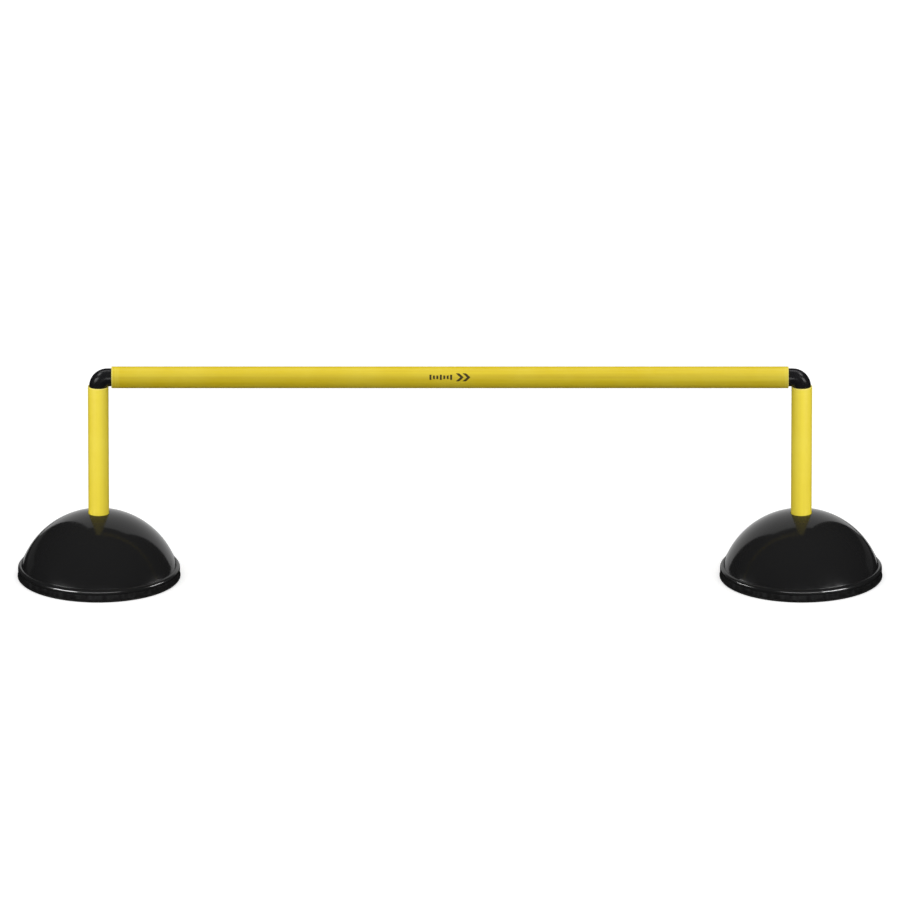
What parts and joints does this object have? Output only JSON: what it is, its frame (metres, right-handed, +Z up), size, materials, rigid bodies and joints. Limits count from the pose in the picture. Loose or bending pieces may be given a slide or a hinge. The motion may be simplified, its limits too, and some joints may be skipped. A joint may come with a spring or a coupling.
{
  "type": "agility hurdle",
  "caption": "Low agility hurdle: a tubular jump bar on corner elbows and posts that plug into weighted dome bases.",
  "frame": {"origin": "on the floor, under the middle of the jump bar", "axes": "+X along the jump bar to the right, +Y from the front to the back, +Z up"},
  "size_m": [1.0566, 0.1992, 0.2698],
  "materials": {
    "tube_plastic": "satin yellow, extruded",
    "elbow_plastic": "semi-gloss black",
    "dome_plastic": "glossy black",
    "cover_plastic": "semi-gloss black",
    "grip_rubber": "matte black",
    "sleeve_plastic": "grey moulded",
    "ballast_concrete": "rough cast",
    "screw_steel": "zinc plated"
  },
  "bodies": {
    "crossbar": {"crossbar_tube": "tube_plastic"},
    "left_corner": {"left_elbow": "elbow_plastic"},
    "left_post": {"left_post_tube": "tube_plastic"},
    "left_base": {"left_dome_shell": "dome_plastic", "left_base_cover": "cover_plastic", "left_grip_ring": "grip_rubber", "left_socket_sleeve": "sleeve_plastic", "left_ballast": "ballast_concrete", "left_base_screw_1": "screw_steel", "left_base_screw_2": "screw_steel", "left_base_screw_3": "screw_steel", "left_base_screw_4": "screw_steel"},
    "right_corner": {"right_elbow": "elbow_plastic"},
    "right_post": {"right_post_tube": "tube_plastic"},
    "right_base": {"right_dome_shell": "dome_plastic", "right_base_cover": "cover_plastic", "right_grip_ring": "grip_rubber", "right_socket_sleeve": "sleeve_plastic", "right_ballast": "ballast_concrete", "right_base_screw_1": "screw_steel", "right_base_screw_2": "screw_steel", "right_base_screw_3": "screw_steel", "right_base_screw_4": "screw_steel"}
  },
  "joints": [
    {"name": "left_corner_turn", "type": "hinge", "parent": "crossbar", "child": "left_corner", "pos_m": [-0.4287, 0, 0.2565], "axis": [1, 0, 0], "continuous": true},
    {"name": "left_post_swivel", "type": "hinge", "parent": "left_corner", "child": "left_post", "pos_m": [-0.4287, 0, 0.2453], "axis": [0, 0, 1], "continuous": true},
    {"name": "left_base_pull", "type": "slide", "parent": "left_post", "child": "left_base", "axis": [0, 0, -1], "range_m": [0, 0.0735]},
    {"name": "right_corner_turn", "type": "hinge", "parent": "crossbar", "child": "right_corner", "pos_m": [0.4287, 0, 0.2565], "axis": [1, 0, 0], "continuous": true},
    {"name": "right_post_swivel", "type": "hinge", "parent": "right_corner", "child": "right_post", "pos_m": [0.4287, 0, 0.2453], "axis": [0, 0, 1], "continuous": true},
    {"name": "right_base_pull", "type": "slide", "parent": "right_post", "child": "right_base", "axis": [0, 0, -1], "range_m": [0, 0.0735]}
  ]
}
